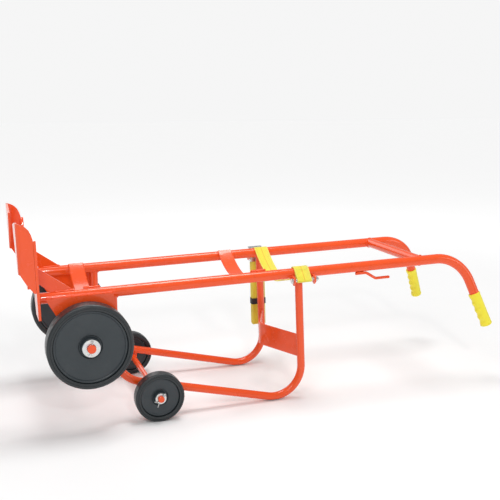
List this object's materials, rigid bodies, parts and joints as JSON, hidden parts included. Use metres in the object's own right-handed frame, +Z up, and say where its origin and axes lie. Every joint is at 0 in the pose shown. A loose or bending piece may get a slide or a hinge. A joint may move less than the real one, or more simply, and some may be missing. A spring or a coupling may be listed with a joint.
{
  "type": "drum dolly",
  "caption": "Tubular cradle dolly for a 55-gallon drum with toe claws, curved saddles, skid legs, a cam-buckle strap and curved handles.",
  "frame": {"origin": "on the floor, under the middle of the length and width", "axes": "+X from the toe claws to the handles, +Y across, away from the pail hook, +Z up"},
  "size_m": [1.5904, 0.604, 0.6326],
  "materials": {
    "orange_paint": "gloss",
    "rubber": "matte",
    "wheel_plastic": "satin",
    "zinc": "bright zinc plate",
    "grip_vinyl": "satin vinyl",
    "webbing": "woven webbing"
  },
  "bodies": {
    "frame": {"side_rail_near": "orange_paint", "handle_grip_near": "grip_vinyl", "toe_plate_near": "orange_paint", "toe_claw_near": "orange_paint", "toe_gusset_near": "orange_paint", "leg_tube_near": "orange_paint", "wheel_bracket_near": "orange_paint", "axle_lug_near": "orange_paint", "big_washer_near": "zinc", "big_spacer_near": "zinc", "big_cotter_pin_near": "zinc", "small_washer_near": "zinc", "small_spacer_near": "zinc", "small_cotter_pin_near": "zinc", "strap_ear_front_near": "orange_paint", "strap_ear_rear_near": "orange_paint", "strap_bolt_near": "zinc", "strap_nut_near": "zinc", "side_rail_far": "orange_paint", "handle_grip_far": "grip_vinyl", "toe_plate_far": "orange_paint", "toe_claw_far": "orange_paint", "toe_gusset_far": "orange_paint", "leg_tube_far": "orange_paint", "wheel_bracket_far": "orange_paint", "axle_lug_far": "orange_paint", "big_washer_far": "zinc", "big_spacer_far": "zinc", "big_cotter_pin_far": "zinc", "small_washer_far": "zinc", "small_spacer_far": "zinc", "small_cotter_pin_far": "zinc", "strap_ear_front_far": "orange_paint", "strap_ear_rear_far": "orange_paint", "strap_bolt_far": "zinc", "strap_nut_far": "zinc", "rear_cross_tube": "orange_paint", "drum_saddle_front": "orange_paint", "drum_saddle_rear": "orange_paint", "leg_brace": "orange_paint", "main_axle": "orange_paint", "small_axle": "orange_paint", "drum_strap": "webbing", "buckle_frame": "zinc", "cam_pin": "zinc", "pail_hook": "orange_paint"},
    "big_wheel_near": {"big_tyre_near": "rubber", "big_wheel_centre_near": "wheel_plastic", "big_bearing_near": "zinc"},
    "big_wheel_far": {"big_tyre_far": "rubber", "big_wheel_centre_far": "wheel_plastic", "big_bearing_far": "zinc"},
    "small_wheel_near": {"small_tyre_near": "rubber", "small_wheel_centre_near": "wheel_plastic", "small_bearing_near": "zinc"},
    "small_wheel_far": {"small_tyre_far": "rubber", "small_wheel_centre_far": "wheel_plastic", "small_bearing_far": "zinc"},
    "cam_lever": {"cam_lever": "zinc"}
  },
  "joints": [
    {"name": "big_wheel_spin_near", "type": "hinge", "parent": "frame", "child": "big_wheel_near", "pos_m": [-0.6009, -0.2555, 0.2654], "axis": [0, 1, 0], "continuous": true},
    {"name": "small_wheel_spin_near", "type": "hinge", "parent": "frame", "child": "small_wheel_near", "pos_m": [-0.3924, -0.2356, 0.0762], "axis": [0, 1, 0], "continuous": true},
    {"name": "big_wheel_spin_far", "type": "hinge", "parent": "frame", "child": "big_wheel_far", "pos_m": [-0.6009, 0.2555, 0.2654], "axis": [0, 1, 0], "continuous": true},
    {"name": "small_wheel_spin_far", "type": "hinge", "parent": "frame", "child": "small_wheel_far", "pos_m": [-0.3924, 0.2356, 0.0762], "axis": [0, 1, 0], "continuous": true},
    {"name": "cam_lever_pivot", "type": "hinge", "parent": "frame", "child": "cam_lever", "pos_m": [0.08893, 0.2274, 0.41998], "axis": [0.9997, 0, 0.0255], "range_deg": [0, 55], "stiffness_Nm_per_rad": 0.05, "springref_deg": -17.19}
  ]
}
